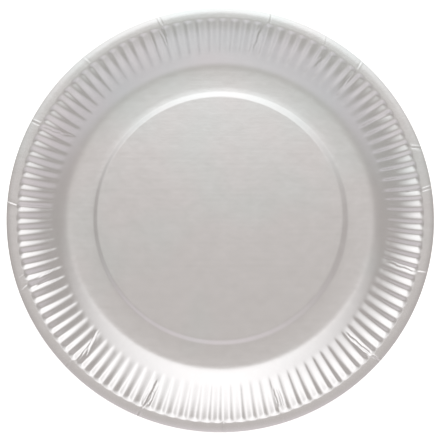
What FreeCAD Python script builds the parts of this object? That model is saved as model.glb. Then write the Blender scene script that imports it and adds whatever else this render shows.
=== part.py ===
import FreeCAD
import Part

import math
import os

from FreeCAD import Vector

# A round dinner plate pressed from one sheet of foil-faced board.
# A raised centre panel steps down to a standing band. From the band a cove, a short
# straight wall and a crown rise to the level rim, and a plain lip turns down outside.
# Flutes are pressed into the wall, the crown and the rim. They lean one way, with a
# gentle flank and a steep one, and end in short ramps. Outside the band the board is
# drawn one flute at a time, so its rim has as many short flats as it has flutes.
# All lengths are in millimetres, and Z is up.

# Overall sizes
plate_diameter = 230.0
plate_height = 13.5
board_thickness = 0.4

# Centre panel, the step round it, and the band that the plate stands on
panel_rise = 0.55
step_width = 2.8
band_width = 11.5

# Wall: a cove, a straight wall at the wall angle and a crown
wall_angle = math.radians(45.0)
cove_radius = 12.5
crown_radius = 18.8

# Rim: its level width inside the lip, and the lip that bends down to the cut edge
level_width = 3.5
lip_width = 5.2
lip_radius = 14.0

# Flutes: each falls gently from its crest to its valley and climbs steeply to the next
flute_count = 108
flute_depth = 1.0
gentle_share = 0.62
first_crest_angle = math.radians(0.77)
inner_ramp = 4.0
outer_ramp = 1.8
flank_divisions = 3

SEWING_TOLERANCE = 0.001

AXIS = Vector(0, 0, 1)
ORIGIN = Vector(0, 0, 0)
PITCH = 2 * math.pi / flute_count


def section_pieces():
    """Lines and arcs of the upper side of the board, each tangent to the one before.

    Each is a length and a turn, from the axis to the rim. A turn of more than 0 bends
    the section upwards. The centre panel and the wall take up what the others leave.
    """
    step_angle = 2 * math.atan(panel_rise / step_width)
    step_radius = step_width / 2 / math.sin(step_angle)

    arcs_rise = (cove_radius + crown_radius) * (1 - math.cos(wall_angle))
    arcs_run = (cove_radius + crown_radius) * math.sin(wall_angle)
    wall_rise = plate_height - board_thickness - arcs_rise
    wall_run = wall_rise / math.tan(wall_angle)

    lip_angle = math.asin(lip_width / lip_radius)
    rim_run = level_width + lip_width
    outside_panel = step_width + band_width + arcs_run + wall_run + rim_run
    return {
        "panel": (plate_diameter / 2 - outside_panel, 0.0),
        "step top": (step_radius * step_angle, -step_angle),
        "step foot": (step_radius * step_angle, step_angle),
        "band": (band_width, 0.0),
        "cove": (cove_radius * wall_angle, wall_angle),
        "wall": (wall_rise / math.sin(wall_angle), 0.0),
        "crown": (crown_radius * wall_angle, -wall_angle),
        "level": (level_width, 0.0),
        "lip": (lip_radius * lip_angle, -lip_angle),
    }


def end_of(name):
    """Distance along the section at which one of its pieces ends."""
    distance = 0.0
    for piece, (length, turn) in section_pieces().items():
        distance += length
        if piece == name:
            return distance


def section_point(distance, offset):
    """Point of the section at a distance along it, moved by offset to its upper side."""
    point = Vector(0, 0, board_thickness + panel_rise)
    heading = 0.0
    for length, turn in section_pieces().values():
        share = min(distance / length, 1.0)
        chord = share * length
        if turn:
            chord = 2 * length / turn * math.sin(share * turn / 2)
        direction = heading + share * turn / 2
        point += Vector(math.cos(direction), 0, math.sin(direction)) * chord
        heading += share * turn
        distance -= length
        if distance <= 0:
            break
    return point + Vector(-math.sin(heading), 0, math.cos(heading)) * offset


def section_edge(name, offset):
    """Line or arc of one named piece of the section."""
    length, turn = section_pieces()[name]
    end = end_of(name)
    points = [section_point(d, offset) for d in (end - length, end - length / 2, end)]
    curve = Part.Arc(*points) if turn else Part.LineSegment(points[0], points[2])
    return curve.toShape()


def turned(point, angle):
    """A point of the section turned about the plate's axis."""
    return Vector(point.x * math.cos(angle), point.x * math.sin(angle), point.z)


def facet(*corners):
    """Flat face with straight edges."""
    return Part.Face(Part.makePolygon(list(corners) + [corners[0]]))


def middle_faces(offset):
    """Panel and step of one side, swept round the axis, and the band round them."""
    edges = [section_edge(name, offset) for name in ("panel", "step top", "step foot")]
    faces = Part.Wire(edges).revolve(ORIGIN, AXIS, 360).Faces
    corner = section_point(end_of("band"), offset)
    angles = [first_crest_angle + i * PITCH for i in range(flute_count + 1)]
    outside = Part.makePolygon([turned(corner, angle) for angle in angles])
    foot = section_point(end_of("step foot"), offset)
    inside = Part.Wire(Part.makeCircle(foot.x, Vector(0, 0, foot.z), AXIS))
    return faces + [Part.makeFace([outside, inside], "Part::FaceMakerBullseye")]


def strip(name, offset):
    """One piece of the section over one pitch, straight from crest to crest."""
    edge = section_edge(name, offset)
    next_edge = edge.copy().rotate(ORIGIN, AXIS, math.degrees(PITCH))
    return Part.makeRuledSurface(edge, next_edge)


def flute_corners(distance, offset):
    """Crest, valley and next crest of a flute at a distance along the section."""
    crest = section_point(distance, offset)
    valley = section_point(distance, offset - flute_depth)
    return turned(crest, 0.0), turned(valley, gentle_share * PITCH), turned(crest, PITCH)


def flute(offset):
    """Gentle and steep flank of one flute, and the ramps that end its valley."""
    start, stop = end_of("cove") + inner_ramp, end_of("level") - outer_ramp
    step = (stop - start) / flank_divisions
    rows = [flute_corners(start + i * step, offset) for i in range(flank_divisions + 1)]
    faces = []
    for row, next_row in zip(rows, rows[1:]):
        for i in (0, 1):
            edge = Part.LineSegment(row[i], row[i + 1]).toShape()
            next_edge = Part.LineSegment(next_row[i], next_row[i + 1]).toShape()
            faces.append(Part.makeRuledSurface(edge, next_edge))
    for ramp_end, row in ((end_of("cove"), rows[0]), (end_of("level"), rows[-1])):
        crest, valley, next_crest = row
        foot = section_point(ramp_end, offset)
        near_foot, far_foot = turned(foot, 0.0), turned(foot, PITCH)
        faces.append(facet(near_foot, crest, valley))
        faces.append(facet(near_foot, valley, far_foot))
        faces.append(facet(far_foot, valley, next_crest))
    return faces


def cut_edge():
    """Edge of the board over one pitch."""
    top = section_point(end_of("lip"), 0.0)
    under = section_point(end_of("lip"), -board_thickness)
    return facet(turned(top, 0.0), turned(top, PITCH), turned(under, PITCH), turned(under, 0.0))


def plate():
    """The whole sheet: the middle, and one sector repeated for each flute."""
    faces = []
    sector = [cut_edge()]
    for offset in (0.0, -board_thickness):
        faces += middle_faces(offset)
        sector += [strip("cove", offset), *flute(offset), strip("lip", offset)]
    sector = Part.Compound(sector)
    for i in range(flute_count):
        angle = math.degrees(first_crest_angle + i * PITCH)
        faces += sector.copy().rotate(ORIGIN, AXIS, angle).Faces
    skin = Part.Compound(faces)
    skin.sewShape(SEWING_TOLERANCE)
    solid = Part.Solid(skin.Shells[0])
    if solid.Volume < 0:
        solid.reverse()
    return solid


if __name__ == "__main__":
    os.makedirs("parts", exist_ok=True)
    plate().exportStep("parts/plate.step")
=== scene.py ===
import math

import bpy
import numpy as np
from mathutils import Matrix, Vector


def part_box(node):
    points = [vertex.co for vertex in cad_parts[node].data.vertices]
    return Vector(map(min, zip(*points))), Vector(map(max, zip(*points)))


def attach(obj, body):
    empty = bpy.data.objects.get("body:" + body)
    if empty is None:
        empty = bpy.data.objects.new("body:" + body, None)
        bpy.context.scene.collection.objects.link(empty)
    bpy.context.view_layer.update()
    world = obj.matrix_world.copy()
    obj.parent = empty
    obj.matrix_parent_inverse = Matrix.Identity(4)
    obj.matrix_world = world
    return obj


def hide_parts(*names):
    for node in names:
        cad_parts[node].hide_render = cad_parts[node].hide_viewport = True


# A silver board plate with a fluted rim, seen from almost straight above.
# Lengths are in metres and angles in degrees, unless a note says otherwise.

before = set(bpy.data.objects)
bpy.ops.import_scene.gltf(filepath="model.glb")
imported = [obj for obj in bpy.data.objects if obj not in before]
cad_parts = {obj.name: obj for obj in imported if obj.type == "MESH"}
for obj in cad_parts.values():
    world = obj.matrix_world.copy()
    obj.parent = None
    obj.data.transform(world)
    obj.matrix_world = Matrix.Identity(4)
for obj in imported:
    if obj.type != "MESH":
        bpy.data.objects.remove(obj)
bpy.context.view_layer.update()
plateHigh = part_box("plate")[1]
print("frame loaded")


# Section of the board

boardForm = {
    "thickness": 0.0004,
    "creaseRoom": 0.00014,  # how far a crease may stand up, kept free inside the CAD box
    "samples": 20001,
    "trialSlopes": (25.0, 55.0),  # between these the wall's slope is looked for
    "trialCount": 61,
    # radius, and the slope of the upper side there: the domed panel, its step and the band
    "floorSlopes": [
        (0.0, 0.0), (0.0330, -1.1), (0.0659, -1.9), (0.0669, -18.5), (0.0682, -18.5),
        (0.0691, -1.8), (0.0776, -0.4), (0.0807, 0.8), (0.0822, 4.0), (0.0841, 14.0),
        (0.0866, 28.0),
    ],
    # radius, and the slope there as a share of the wall's, which the plate's height decides
    "wallShares": [
        (0.0892, 1.0), (0.0925, 1.0), (0.0962, 0.89), (0.0995, 0.69), (0.1022, 0.46),
        (0.1048, 0.29), (0.1078, 0.20), (0.1094, 0.10),
    ],
    # radius, and the slope of the lip
    "lipSlopes": [
        (0.1101, 0.0), (0.1110, -0.3), (0.1122, -1.9), (0.1133, -6.2), (0.1144, -14.0),
        (0.1149, -24.0),
    ],
}


def drawSection(form, rimRadius, rimHeight):
    # Height = running sum of the slope's tangent over the radius, and the distance along the
    # board = running sum of its secant. The wall's slope is the one that ends at the rim's height.
    radius = np.linspace(0, rimRadius, form["samples"])
    step = radius[1]

    def slopesFor(wallSlope):
        wall = [(place, share * wallSlope) for place, share in form["wallShares"]]
        places, slopes = np.array(form["floorSlopes"] + wall + form["lipSlopes"]).T
        return np.radians(np.interp(radius, places, slopes))

    def heightsFor(slope):
        rise = np.concatenate([[0], np.cumsum(np.tan((slope[1:] + slope[:-1]) / 2)) * step])
        return rise - rise.min() + form["thickness"]

    trials = np.linspace(*form["trialSlopes"], form["trialCount"])
    tops = [heightsFor(slopesFor(trial)).max() for trial in trials]
    slope = slopesFor(np.interp(rimHeight, tops, trials))
    along = np.concatenate([[0], np.cumsum(1 / np.cos((slope[1:] + slope[:-1]) / 2)) * step])
    return radius, heightsFor(slope), slope, along


sectionRadius, sectionHeight, sectionSlope, sectionAlong = drawSection(
    boardForm, plateHigh[0] - boardForm["creaseRoom"] / 2, plateHigh[2] - boardForm["creaseRoom"]
)


def alongAt(radius):
    # Distance along the board at a radius
    return np.interp(radius, sectionRadius, sectionAlong)


def smoothStep(share):
    # 3 x share^2 - 2 x share^3, with the share held between 0 and 1
    share = np.clip(share, 0, 1)
    return share * share * (3 - 2 * share)


# Panel ring, wider on one side

ringForm = {
    "radius": 0.06755,
    "reach": 0.0035,  # of the bell curve
    "widest": 342.0,
    "spread": 0.28,  # share by which the step is wider there, and narrower opposite
}


def ringShift(radius, angle):
    # Radial move = spread x cosine from the widest place x distance from the ring x bell curve
    form = ringForm
    distance = radius - form["radius"]
    bell = np.exp(-((distance / form["reach"]) ** 2))
    return form["spread"] * np.cos(angle - math.radians(form["widest"])) * distance * bell


# Flutes

fluteForm = {
    "count": 108,
    "depth": 0.00098,
    "innerEnd": 0.0886,
    "outerEnd": 0.1095,
    "gentleShare": 0.57,  # of the pitch, at the outer end
    "innerGentleShare": 0.70,  # the steep side narrows towards the inner end
    "firstCrest": 0.77,
    "innerDepth": 0.36,  # share of the full depth just past the inner end
    "growth": 0.015,  # length over which the depth grows to the full one
    "innerRamp": 0.0042,
    "outerRamp": 0.0019,
    "crestFlat": 0.10,  # half width of the rounded crest, in pitches
    "valleyFlat": 0.06,
    "diagonalShare": 0.81,  # depth on the diagonals, as a share of that at the left and right
    "depthSpread": 0.09,  # standard deviation, as a share of the depth
    "valleySpread": 0.03,  # standard deviation, in pitches
    "crestSpread": 0.025,
    "spreadFade": 0.005,  # the spreads fade out over this length past both ends
    "seed": 5,
}


def fluteParts(angle):
    # Which flute an angle is in, and how far across it from its crest, as a share of the pitch
    turns = (angle - math.radians(fluteForm["firstCrest"])) / (2 * math.pi) * fluteForm["count"]
    return np.floor(turns), turns - np.floor(turns)


def fluteAngle(along, angle):
    # The real angle of a column. The valley line moves from its outer place to its inner one with
    # the distance along the board, and the columns between it and the crests move in proportion.
    form = fluteForm
    start, stop = alongAt(form["innerEnd"]), alongAt(form["outerEnd"])
    number, share = fluteParts(angle)
    chance = np.random.default_rng(form["seed"] + 1)
    valleys = form["valleySpread"] * chance.standard_normal(form["count"])
    crests = form["crestSpread"] * chance.standard_normal(form["count"])
    which = number.astype(int) % form["count"]
    outward = smoothStep((along - start) / (stop - start))
    fade = form["spreadFade"]
    fades = smoothStep((along - start) / fade + 1) * smoothStep((stop - along) / fade + 1)
    valley = form["innerGentleShare"] + (form["gentleShare"] - form["innerGentleShare"]) * outward
    valley = valley + valleys[which] * fades
    gentle = share * valley / form["gentleShare"]
    steep = 1 - (1 - share) * (1 - valley) / (1 - form["gentleShare"])
    moved = np.where(share < form["gentleShare"], gentle, steep)
    here, beyond = crests[which], crests[(which + 1) % form["count"]]
    moved = moved + (here * (1 - moved) + beyond * moved) * fades
    return (number + moved) / form["count"] * 2 * math.pi + math.radians(form["firstCrest"])


def fluteDepth(along, angle):
    # Depth = full depth x growth x rounded corner of the flank and the end ramps, which is
    # 1 - hypotenuse(1 - flank, 1 - ramp). The flank goes from 0 at a crest to 1 at the valley,
    # and back over the steep side. Each flute has a depth of its own, and the full depth
    # changes with the cosine of twice the angle.
    form = fluteForm
    start, stop = alongAt(form["innerEnd"]), alongAt(form["outerEnd"])
    chance = np.random.default_rng(form["seed"])
    depths = 1 + form["depthSpread"] * chance.standard_normal(form["count"])
    number, share = fluteParts(angle)
    flats = form["crestFlat"] + form["valleyFlat"]
    gentle = (share - form["crestFlat"]) / (form["gentleShare"] - flats)
    steep = (1 - form["crestFlat"] - share) / (1 - form["gentleShare"] - flats)
    flank = np.clip(np.minimum(gentle, steep), 0, 1)
    grown = np.clip((along - start) / form["growth"], 0, 1)
    growth = form["innerDepth"] + (1 - form["innerDepth"]) * grown
    inner = smoothStep((along - start) / form["innerRamp"])
    outer = np.clip((stop - along) / form["outerRamp"], 0, 1)
    corner = np.clip(1 - np.hypot(1 - flank, 1 - outer), 0, 1)
    diagonal = form["diagonalShare"]
    depth = form["depth"] * (diagonal + (1 - diagonal) * np.cos(2 * angle))
    return depth * depths[number.astype(int) % form["count"]] * growth * corner * inner


# Creases, folds and dents

# angle, height, and the angle by which it leans over the lip's width
lipCreases = [
    (9.2, 0.00009, 0.0), (20.8, 0.00009, -1.2), (48.3, -0.00004, 0.6), (60.0, 0.00002, 0.8),
    (76.3, 0.00006, 0.2), (106.6, 0.00009, 0.6), (129.4, 0.00002, 0.5), (151.6, -0.00008, 0.2),
    (175.1, 0.00009, -0.8), (195.8, 0.00003, 1.0), (199.0, 0.00012, 1.2), (223.3, 0.00006, 0.3),
    (247.2, 0.00018, -0.3), (270.7, 0.00010, 0.0), (287.5, 0.00004, 0.0), (318.6, 0.00013, 0.2),
    (345.8, -0.00010, 0.6),
]

# angle at its outer and inner end, outer and inner radius, height
folds = [
    (9.4, 9.0, 0.1095, 0.1000, 0.00014),
    (48.5, 46.9, 0.1095, 0.0920, 0.00018),
    (58.2, 58.6, 0.1040, 0.0960, -0.00022),
    (77.0, 77.3, 0.1095, 0.1020, 0.00016),
    (78.2, 78.9, 0.1065, 0.0925, -0.00030),
    (107.3, 106.4, 0.1090, 0.0975, -0.00030),
    (110.4, 110.5, 0.1080, 0.0985, -0.00009),
    (151.2, 150.0, 0.0985, 0.0910, -0.00020),
    (175.2, 175.3, 0.1092, 0.0910, 0.00007),
    (200.2, 198.6, 0.1092, 0.0965, -0.00016),
    (197.6, 196.6, 0.1030, 0.0930, 0.00016),
    (225.4, 222.0, 0.1035, 0.0885, 0.00026),
    (247.4, 248.5, 0.1092, 0.0925, -0.00036),
    (246.7, 247.6, 0.1085, 0.0990, 0.00022),
    (287.4, 287.4, 0.1060, 0.0950, 0.00024),
    (288.4, 288.1, 0.1060, 0.0950, -0.00016),
    (318.7, 317.8, 0.1092, 0.0905, 0.00030),
    (345.2, 345.4, 0.1092, 0.0920, 0.00022),
    (318.0, 317.1, 0.1080, 0.0930, -0.00026),
    (224.3, 223.2, 0.1088, 0.0950, -0.00020),
    (248.6, 249.0, 0.1075, 0.0940, 0.00028),
    (151.9, 151.2, 0.1085, 0.0960, 0.00016),
    (106.2, 105.8, 0.1095, 0.1020, 0.00014),
    (32.2, 33.0, 0.1090, 0.0980, 0.00014),
    (288.9, 288.8, 0.1075, 0.0965, 0.00015),
]

# angle, radius, depth, half width, half length
dents = [
    (150.6, 0.0950, 0.00030, 0.0011, 0.0032),
    (9.9, 0.1060, 0.00016, 0.0006, 0.0022),
    (223.6, 0.1060, -0.00012, 0.0008, 0.0020),
    (199.0, 0.1000, 0.00014, 0.0012, 0.0045),
    (270.0, 0.1149, 0.00025, 0.0850, 0.0030),  # the lip hangs a little at the front
]

creaseForm = {
    "width": 0.0004,
    "lipStart": 0.1098,
    "lipFade": 4.0,  # a fade takes one part in this many of the path
    "innerFade": 4.0,
    "outerFade": 7.0,
    "wander": 0.00017,
    "longWave": 0.0078,
    "shortWave": 0.0029,
    "longPhase": 1.9,  # from one fold to the next, in radians
    "shortPhase": 3.1,
    "shortShare": 0.6,  # height of the short wave, as a share of the long one's
}


def pinch(distance, width):
    # A ridge beside a groove: the distance across it times a bell curve
    scaled = distance / width
    return scaled * np.exp(0.5 - scaled * scaled / 2)


def acrossFrom(angle, centre, radius):
    # Arc = radius x the angle from the centre line, between minus and plus half a turn
    return radius * np.angle(np.exp(1j * (angle - centre)))


def creaseLift(along, angle, radius):
    # Lift = sum of height x pinch across a path x fades at its ends, less the dents' bell curves.
    # A path runs from its inner to its outer angle and wanders as a sum of two sines.
    form = creaseForm
    lift = np.zeros(angle.shape)
    lipStart, lipStop = alongAt(form["lipStart"]), sectionAlong[-1]
    overLip = (along - lipStart) / (lipStop - lipStart)
    for place, height, lean in lipCreases:
        centre = math.radians(place) + math.radians(lean) * (overLip - 0.5)
        fade = smoothStep(overLip * form["lipFade"] + 0.5)
        lift += height * fade * pinch(acrossFrom(angle, centre, radius), form["width"])
    for order, (outerAngle, innerAngle, outer, inner, height) in enumerate(folds):
        start, stop = alongAt(inner), alongAt(outer)
        share = (along - start) / (stop - start)
        centre = math.radians(innerAngle) + math.radians(outerAngle - innerAngle) * share
        turns = 2 * math.pi * along
        longWave = np.sin(turns / form["longWave"] + form["longPhase"] * order)
        shortWave = np.sin(turns / form["shortWave"] + form["shortPhase"] * order)
        wave = longWave + form["shortShare"] * shortWave
        across = acrossFrom(angle, centre, radius) + form["wander"] * wave
        innerFade = smoothStep(share * form["innerFade"])
        fade = innerFade * smoothStep((1 - share) * form["outerFade"])
        lift += height * fade * pinch(across, form["width"])
    for place, middle, depth, halfWidth, halfLength in dents:
        across = acrossFrom(angle, math.radians(place), radius) / halfWidth
        lift -= depth * np.exp(-across ** 2 - ((radius - middle) / halfLength) ** 2)
    return lift


# The sheet as one closed mesh

gridForm = {
    # radius reached, and how many rows it takes to get there
    "topRows": [
        (0.0655, 3), (0.0691, 9), (0.0800, 4), (0.0885, 9), (0.0930, 7), (0.1045, 16),
        (0.1082, 6), (0.1104, 8), (0.1133, 5), (1.0, 4),
    ],
    "underRows": [
        (0.0655, 2), (0.0691, 6), (0.0800, 2), (0.0885, 5), (0.0930, 3), (0.1045, 6),
        (0.1104, 5), (1.0, 3),
    ],
    "columnShares": [-0.10, 0.10, 0.25, 0.40, 0.54, 0.66, 0.78],  # in pitches from a crest
    "creaseColumns": [-3, -2, -1, 0, 1, 2, 3],  # in fine steps from a crease
    "fineStep": 0.21,
    "leastGap": 0.16,
    "sharpAngle": 60.0,
}


def gridRows(stops):
    # Rows at even distances along the board from each stop to the next
    rows = [0.0]
    for radius, count in stops:
        rows += list(np.linspace(rows[-1], alongAt(radius), count + 1)[1:])
    return np.array(rows[1:])


def gridColumns():
    # Seven columns to a flute, and a fine even grid where a crease runs. Of two columns that lie
    # too close together, the fine one is kept.
    form = gridForm
    pitch = 360 / fluteForm["count"]
    regular = np.add.outer(np.arange(fluteForm["count"]), form["columnShares"]).ravel()
    regular = (fluteForm["firstCrest"] + regular * pitch) % 360
    centres = [crease[0] for crease in lipCreases]
    for outer, inner in [fold[:2] for fold in folds]:
        centres += list(np.linspace(outer, inner, 2 + int(abs(outer - inner))))
    steps = np.add.outer(np.divide(centres, form["fineStep"]), form["creaseColumns"])
    fine = np.unique(np.round(steps)) * form["fineStep"] % 360
    gaps = np.abs((regular[:, None] - fine[None, :] + 180) % 360 - 180)
    regular = regular[gaps.min(axis=1) > form["leastGap"]]
    return np.radians(np.sort(np.concatenate([regular, fine])))


def boardSurface(along, angle, under):
    # Point of the section, moved along the upper side's normal by the creases less the flutes,
    # and by the board's thickness on the lower side
    along, angle = np.meshgrid(along, angle, indexing="ij")
    radius = np.interp(along, sectionAlong, sectionRadius)
    height = np.interp(along, sectionAlong, sectionHeight)
    slope = np.interp(along, sectionAlong, sectionSlope)
    lift = creaseLift(along, angle, radius) - fluteDepth(along, angle)
    lift = np.minimum(lift, boardForm["creaseRoom"]) - under
    turned = fluteAngle(along, angle)
    radius = radius + ringShift(radius, turned) - np.sin(slope) * lift
    height = height + np.cos(slope) * lift
    return np.stack([radius * np.cos(turned), radius * np.sin(turned), height], axis=-1)


def makePlate():
    # Rings of points from the middle out over the lip and back underneath, joined by quads that
    # close round the plate, and a fan of triangles at either pole
    angles = gridColumns()
    columns = len(angles)
    topRows = gridRows(gridForm["topRows"])
    underRows = gridRows(gridForm["underRows"])[::-1]
    top = boardSurface(topRows, angles, 0.0)
    under = boardSurface(underRows, angles, boardForm["thickness"])
    rings = np.concatenate([top, under])
    count = len(rings)
    middle = sectionHeight[0]
    poles = [[0, 0, middle], [0, 0, middle - boardForm["thickness"]]]
    points = np.concatenate([rings.reshape(-1, 3), poles])
    near = np.arange((count - 1) * columns).reshape(count - 1, columns)
    beside = np.roll(near, -1, axis=1)
    quads = np.stack([near, near + columns, beside + columns, beside], axis=-1).reshape(-1, 4)
    first = np.arange(columns)
    last = first + (count - 1) * columns
    pole = np.full(columns, count * columns)
    topFan = np.stack([pole, first, np.roll(first, -1)], axis=-1)
    underFan = np.stack([pole + 1, np.roll(last, -1), last], axis=-1)
    mesh = bpy.data.meshes.new("plateSheet")
    mesh.from_pydata(points.tolist(), [], quads.tolist() + topFan.tolist() + underFan.tolist())
    isBoard = np.ones(len(mesh.polygons), dtype=np.int32)
    isBoard[: (len(topRows) - 1) * columns] = 0
    isBoard[len(quads) : len(quads) + columns] = 0
    mesh.polygons.foreach_set("material_index", isBoard)
    mesh.shade_smooth()
    mesh.set_sharp_from_angle(angle=math.radians(gridForm["sharpAngle"]))
    mesh.validate()
    plate = bpy.data.objects.new("plateSheet", mesh)
    bpy.context.scene.collection.objects.link(plate)
    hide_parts("plate")
    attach(plate, "root")
    print("plate sheet made:", columns, "columns,", count, "rings,",
          len(quads) * 2 + columns * 2, "triangles")
    return plate


# Shader maths written as expressions

class Wire:
    def __init__(self, tree, socket):
        self.tree = tree
        self.socket = socket

    def maths(self, operation, first, second):
        return wireFrom(self.tree, "Value", "ShaderNodeMath", {"operation": operation},
                        {0: first, 1: second})

    def __add__(self, other):
        return self.maths("ADD", self, other)

    def __radd__(self, other):
        return self.maths("ADD", other, self)

    def __sub__(self, other):
        return self.maths("SUBTRACT", self, other)

    def __rsub__(self, other):
        return self.maths("SUBTRACT", other, self)

    def __mul__(self, other):
        return self.maths("MULTIPLY", self, other)

    def __rmul__(self, other):
        return self.maths("MULTIPLY", other, self)

    def __truediv__(self, other):
        return self.maths("DIVIDE", self, other)

    def __rtruediv__(self, other):
        return self.maths("DIVIDE", other, self)


def addNode(tree, kind, settings=None, sockets=None):
    # Settings are set first, then each socket gets its value or its link
    node = tree.nodes.new(kind)
    for name, value in (settings or {}).items():
        setattr(node, name, value)
    for name, value in (sockets or {}).items():
        if isinstance(value, Wire):
            tree.links.new(value.socket, node.inputs[name])
        else:
            node.inputs[name].default_value = value
    return node


def wireFrom(tree, name, kind, settings=None, sockets=None):
    return Wire(tree, addNode(tree, kind, settings, sockets).outputs[name])


def startMaterial(name):
    material = bpy.data.materials.new(name)
    material.use_nodes = True
    material.node_tree.nodes.clear()
    return material, material.node_tree


def finishMaterial(tree, sockets):
    surface = wireFrom(tree, "BSDF", "ShaderNodeBsdfPrincipled", None, sockets)
    addNode(tree, "ShaderNodeOutputMaterial", None, {"Surface": surface})


def noiseFrom(tree, place, scale, detail, roughness=0.55):
    # Noise that goes as far below 0 as above it
    noise = wireFrom(tree, "Fac", "ShaderNodeTexNoise", None,
                     {"Vector": place, "Scale": scale, "Detail": detail, "Roughness": roughness})
    return noise - 0.5


def stretch(tree, place, scales):
    return wireFrom(tree, "Vector", "ShaderNodeVectorMath", {"operation": "MULTIPLY"},
                    {0: place, 1: scales})


def mixTints(tree, share, first, second):
    return wireFrom(tree, 2, "ShaderNodeMix", {"data_type": "RGBA"},
                    {"Factor": share, 6: first, 7: second})


def bumpFrom(tree, strength, distance, height):
    return wireFrom(tree, "Normal", "ShaderNodeBump", None,
                    {"Strength": strength, "Distance": distance, "Height": height})


# Finishes

foilFinish = {
    "coolTint": (0.836, 0.874, 0.866, 1),
    "warmTint": (0.880, 0.859, 0.856, 1),
    "warmShare": 0.90,
    "paintedWarmLightSlope": 5.5,  # painted light: the tint turns warmer towards the front, per metre
    "patchScale": 22.0,
    "patchDetail": 1.0,
    "patchGain": 2.5,
    "shadeSpread": 0.055,
    "streakShade": 0.4,
    "roughness": 0.23,
    "roughSpread": 0.06,
    "streakScale": (9.0, 560.0, 9.0),  # rolled along x
    "streakDetail": 3.0,
    "streakHeight": 7.0e-6,
    "mottleScale": 170.0,
    "mottleDetail": 2.0,
    "mottleHeight": 4.0e-5,
    "grainScale": 1900.0,
    "grainDetail": 1.0,
    "grainHeight": 8.0e-6,
    "bumpStrength": 1.0,
}


def makeFoil():
    # Silver foil: rolling streaks along x, soft mottling, a fine grain and patches of tint, with
    # painted light that turns the tint warmer towards the front
    form = foilFinish
    material, tree = startMaterial("satinFoil")
    place = wireFrom(tree, "Object", "ShaderNodeTexCoord")
    y = wireFrom(tree, "Y", "ShaderNodeSeparateXYZ", None, {0: place})
    rolled = stretch(tree, place, form["streakScale"])
    streaks = noiseFrom(tree, rolled, 1.0, form["streakDetail"])
    mottle = noiseFrom(tree, place, form["mottleScale"], form["mottleDetail"])
    grain = noiseFrom(tree, place, form["grainScale"], form["grainDetail"])
    patches = noiseFrom(tree, place, form["patchScale"], form["patchDetail"])
    # Painted light: the slope in y warms the tint towards the front in place of the light's
    # colour; the patches are the foil's own tint
    warm = form["warmShare"] - form["paintedWarmLightSlope"] * y + form["patchGain"] * patches
    tint = mixTints(tree, warm, form["coolTint"], form["warmTint"])
    shade = 1.0 + form["shadeSpread"] * (mottle + form["streakShade"] * streaks + grain)
    color = wireFrom(tree, "Vector", "ShaderNodeVectorMath", {"operation": "SCALE"},
                     {0: tint, "Scale": shade})
    rough = form["roughness"] + form["roughSpread"] * (mottle + streaks)
    height = form["streakHeight"] * streaks + form["mottleHeight"] * mottle
    height = (height + form["grainHeight"] * grain) / form["mottleHeight"]
    normal = bumpFrom(tree, form["bumpStrength"], form["mottleHeight"], height)
    finishMaterial(tree, {"Base Color": color, "Metallic": 1.0, "Roughness": rough,
                          "Normal": normal})
    print("foil made")
    return material


paperFinish = {
    "lightTint": (0.90, 0.885, 0.855, 1),
    "darkTint": (0.80, 0.78, 0.735, 1),
    "lightShare": 0.5,
    "cloudScale": 75.0,
    "cloudDetail": 3.0,
    "cloudShade": 0.9,
    "fibreScale": (260.0, 1300.0, 260.0),
    "fibreDetail": 4.0,
    "fibreShade": 0.7,
    "fibreHeight": 3.0e-5,
    "speckScale": 700.0,
    "speckDetail": 2.0,
    "speckShade": 0.5,
    "speckHeight": 0.4,  # as a share of the fibres'
    "bumpStrength": 0.7,
    "roughness": 0.82,
    "roughSpread": 0.10,
    "specular": 0.25,
}


def makePaper():
    # Bare board on the underside and the cut edge: long fibres, cloudy pulp and fine specks
    form = paperFinish
    material, tree = startMaterial("paleBoard")
    place = wireFrom(tree, "Object", "ShaderNodeTexCoord")
    drawn = stretch(tree, place, form["fibreScale"])
    fibres = noiseFrom(tree, drawn, 1.0, form["fibreDetail"])
    clouds = noiseFrom(tree, place, form["cloudScale"], form["cloudDetail"])
    specks = noiseFrom(tree, place, form["speckScale"], form["speckDetail"])
    light = form["lightShare"] + form["cloudShade"] * clouds + form["fibreShade"] * fibres
    light = light + form["speckShade"] * specks
    color = mixTints(tree, light, form["darkTint"], form["lightTint"])
    rough = form["roughness"] + form["roughSpread"] * fibres
    height = fibres + form["speckHeight"] * specks
    normal = bumpFrom(tree, form["bumpStrength"], form["fibreHeight"], height)
    finishMaterial(tree, {"Base Color": color, "Roughness": rough,
                          "Specular IOR Level": form["specular"], "Normal": normal})
    print("paper made")
    return material


# Studio

studioForm = {
    "backdropTint": (1, 1, 1, 1),
    "backdrop": 1.0,
    "floorColor": (0.93, 0.93, 0.93, 1),
    "floorGlowTint": (1, 1, 1, 1),
    "floorGlow": 0.5,
    "floorSize": 12.0,
    "fill": 0.534,
    "fillTint": (1.045, 1.0, 0.968, 1),
    "sideDimming": 0.126,  # towards either side
    "sideReach": 0.11,
    "frontLift": 0.155,  # low in front of the plate
    "frontRamp": (0.22, 0.72),
    "frontTint": (1.07, 1.0, 1.20, 1),
    "softbox": 0.68,  # from above the plate to the horizon behind it
    "softboxTint": (0.965, 1.0, 1.03, 1),
    "softboxEdge": -0.018,
    "softboxBlur": 0.05,
    "softboxLean": 0.125,
    "softboxFall": 0.68,
    "lowLean": 0.6,
    "lowRamp": (0.45, 0.70),
}


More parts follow.
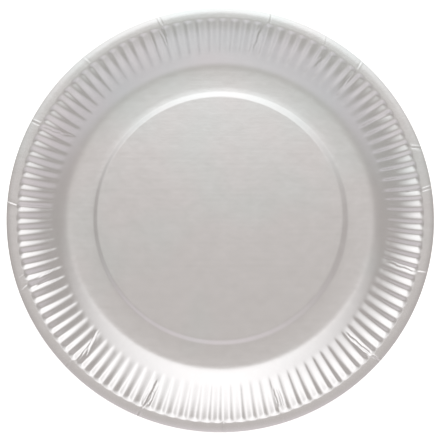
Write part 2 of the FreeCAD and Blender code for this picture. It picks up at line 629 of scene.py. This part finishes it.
def makeLight():
    # Light from a direction (x, y, z), the plate being at the origin: fill - dimming * x^2 /
    # (x^2 + reach), a front light that comes in where -y passes its ramp, and a softbox that
    # comes in where y passes its edge. The softbox falls off to the sides as (y + lean * z)^2 /
    # (fall * x^2 + (y + lean * z)^2), and ends low down where z + lean * y passes the low ramp.
    form = studioForm
    world = bpy.data.worlds.new("studio")
    bpy.context.scene.world = world
    world.use_nodes = True
    tree = world.node_tree
    tree.nodes.clear()
    direction = wireFrom(tree, "Generated", "ShaderNodeTexCoord")
    axes = addNode(tree, "ShaderNodeSeparateXYZ", None, {0: direction})
    x, y, z = [Wire(tree, socket) for socket in axes.outputs]

    def ramp(value, start, stop):
        return wireFrom(tree, "Result", "ShaderNodeMapRange", {"interpolation_type": "SMOOTHSTEP"},
                        {"Value": value, "From Min": start, "From Max": stop})

    side = x * x
    fill = form["fill"] - form["sideDimming"] * side / (side + form["sideReach"])
    front = form["frontLift"] * ramp(-1.0 * y, *form["frontRamp"])
    depth = y + form["softboxLean"] * z
    across = depth * depth / (form["softboxFall"] * side + depth * depth)
    edge, blur = form["softboxEdge"], form["softboxBlur"] / 2
    softbox = form["softbox"] * across * ramp(y, edge - blur, edge + blur)
    softbox = softbox * ramp(z + form["lowLean"] * y, *form["lowRamp"])

    def glow(tint, strength):
        return wireFrom(tree, "Background", "ShaderNodeBackground", None,
                        {"Color": tint, "Strength": strength})

    def both(first, second):
        return wireFrom(tree, "Shader", "ShaderNodeAddShader", None, {0: first, 1: second})

    light = both(glow(form["fillTint"], fill), glow(form["frontTint"], front))
    light = both(light, glow(form["softboxTint"], softbox))
    seen = wireFrom(tree, "Is Camera Ray", "ShaderNodeLightPath")
    backdrop = wireFrom(tree, "Shader", "ShaderNodeMixShader", None,
                        {0: seen, 1: light, 2: glow(form["backdropTint"], form["backdrop"])})
    addNode(tree, "ShaderNodeOutputWorld", None, {"Surface": backdrop})
    print("studio light ready")


def makeFloor():
    form = studioForm
    half = form["floorSize"] / 2
    corners = [(-half, -half, 0), (half, -half, 0), (half, half, 0), (-half, half, 0)]
    mesh = bpy.data.meshes.new("floor")
    mesh.from_pydata(corners, [], [(0, 1, 2, 3)])
    floor = bpy.data.objects.new("floor", mesh)
    bpy.context.scene.collection.objects.link(floor)
    material, tree = startMaterial("paleFloor")
    finishMaterial(tree, {"Base Color": form["floorColor"], "Roughness": 1.0,
                          "Specular IOR Level": 0.0, "Emission Color": form["floorGlowTint"],
                          "Emission Strength": form["floorGlow"]})
    mesh.materials.append(material)
    print("floor laid")


cameraForm = {
    "tilt": 6.4,
    "distance": 3.0,
    "rimPixels": 213.9,
    "centrePixel": (220.25, 220.98),
    "imagePixels": 440,
    "sensor": 36.0,  # millimetres
    "aimDepth": 0.001,  # of the rim's edge, below the plate's highest point
}


def makeCamera():
    # The camera leans towards +Y over the middle of the rim. The lens gives the rim's radius its
    # size in pixels, and the aim is moved by the offset of the rim's middle from the image's.
    form = cameraForm
    tilt = math.radians(form["tilt"])
    scale = plateHigh[0] / form["rimPixels"]
    right = (form["imagePixels"] / 2 - form["centrePixel"][0]) * scale
    up = (form["centrePixel"][1] - form["imagePixels"] / 2) * scale
    aimHeight = plateHigh[2] - form["aimDepth"]
    data = bpy.data.cameras.new("camera")
    camera = bpy.data.objects.new("camera", data)
    bpy.context.scene.collection.objects.link(camera)
    data.sensor_width = form["sensor"]
    data.lens = form["sensor"] * form["distance"] / (form["imagePixels"] * scale)
    camera.location = (
        right,
        up * math.cos(tilt) + form["distance"] * math.sin(tilt),
        aimHeight - up * math.sin(tilt) + form["distance"] * math.cos(tilt),
    )
    camera.rotation_euler = (-tilt, 0, 0)
    bpy.context.scene.camera = camera
    bpy.context.scene.view_settings.view_transform = "Standard"
    print("camera placed")


plate = makePlate()
plate.data.materials.append(makeFoil())
plate.data.materials.append(makePaper())
makeFloor()
makeLight()
makeCamera()
